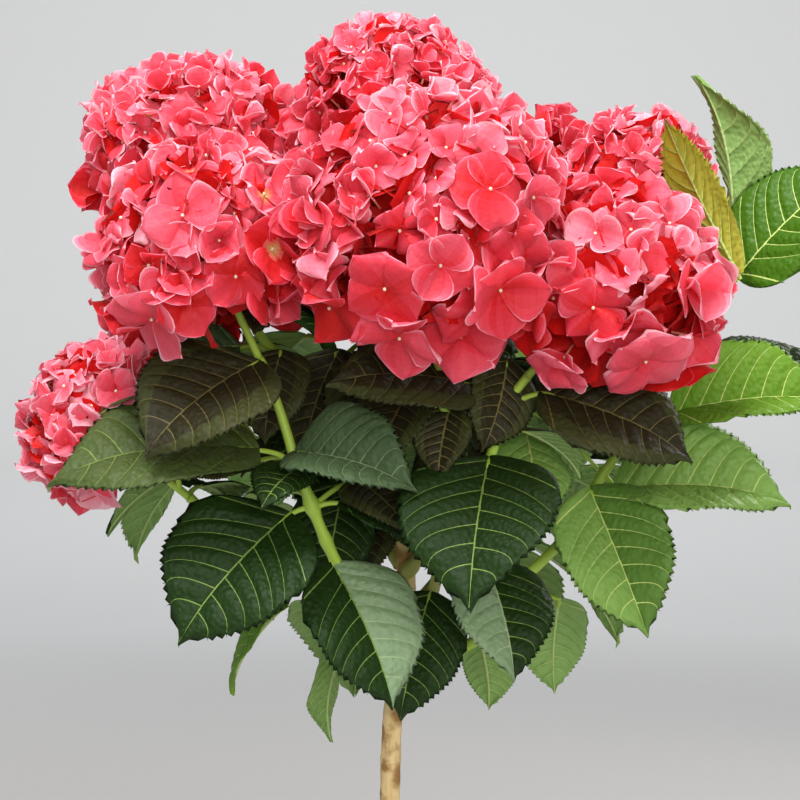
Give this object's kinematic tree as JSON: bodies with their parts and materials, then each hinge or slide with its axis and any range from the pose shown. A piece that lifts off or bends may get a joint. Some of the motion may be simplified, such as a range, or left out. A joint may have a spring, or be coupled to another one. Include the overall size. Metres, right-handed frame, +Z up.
{
  "type": "potted mophead hydrangea standard",
  "caption": "Hydrangea trained as a small standard: a bare woody stem in a clay pot, a crown of broad serrated leaves and domed heads of coral four-sepalled florets.",
  "frame": {"origin": "centre of the pot's flat underside, where it stands", "axes": "+Z up the stem, -Y towards the plant's front, +X to the right seen from the front"},
  "size_m": [0.5242, 0.4174, 0.8609],
  "materials": {
    "terracotta": "unglazed, matt",
    "compost": "crumbly",
    "bark": "flaking bark",
    "green_bark": "smooth young shoot",
    "leaf": "quilted, satin",
    "petal": "soft, matt"
  },
  "bodies": {
    "root": {"bough_back_left": "green_bark", "bough_front": "green_bark", "bough_front_right": "green_bark", "bough_left": "green_bark", "bough_left_low": "green_bark", "bough_low_left": "green_bark", "bough_low_right": "green_bark", "bough_rear_left": "green_bark", "bough_rear_low_left": "green_bark", "bough_rear_low_right": "green_bark", "bough_rear_right": "green_bark", "bough_right": "green_bark", "bough_right_head": "green_bark", "bough_top": "green_bark", "head_back_left": "petal", "head_front": "petal", "head_front_right": "petal", "head_left": "petal", "head_left_low": "petal", "head_rear_left": "petal", "head_rear_low_left": "petal", "head_rear_low_right": "petal", "head_rear_right": "petal", "head_right_head": "petal", "head_top": "petal", "leaves_back_left": "leaf", "leaves_front": "leaf", "leaves_front_right": "leaf", "leaves_left": "leaf", "leaves_left_low": "leaf", "leaves_low_left": "leaf", "leaves_low_right": "leaf", "leaves_rear_left": "leaf", "leaves_rear_low_left": "leaf", "leaves_rear_low_right": "leaf", "leaves_rear_right": "leaf", "leaves_right": "leaf", "leaves_right_head": "leaf", "leaves_top": "leaf", "pot": "terracotta", "soil": "compost", "trunk": "bark"}
  },
  "joints": []
}
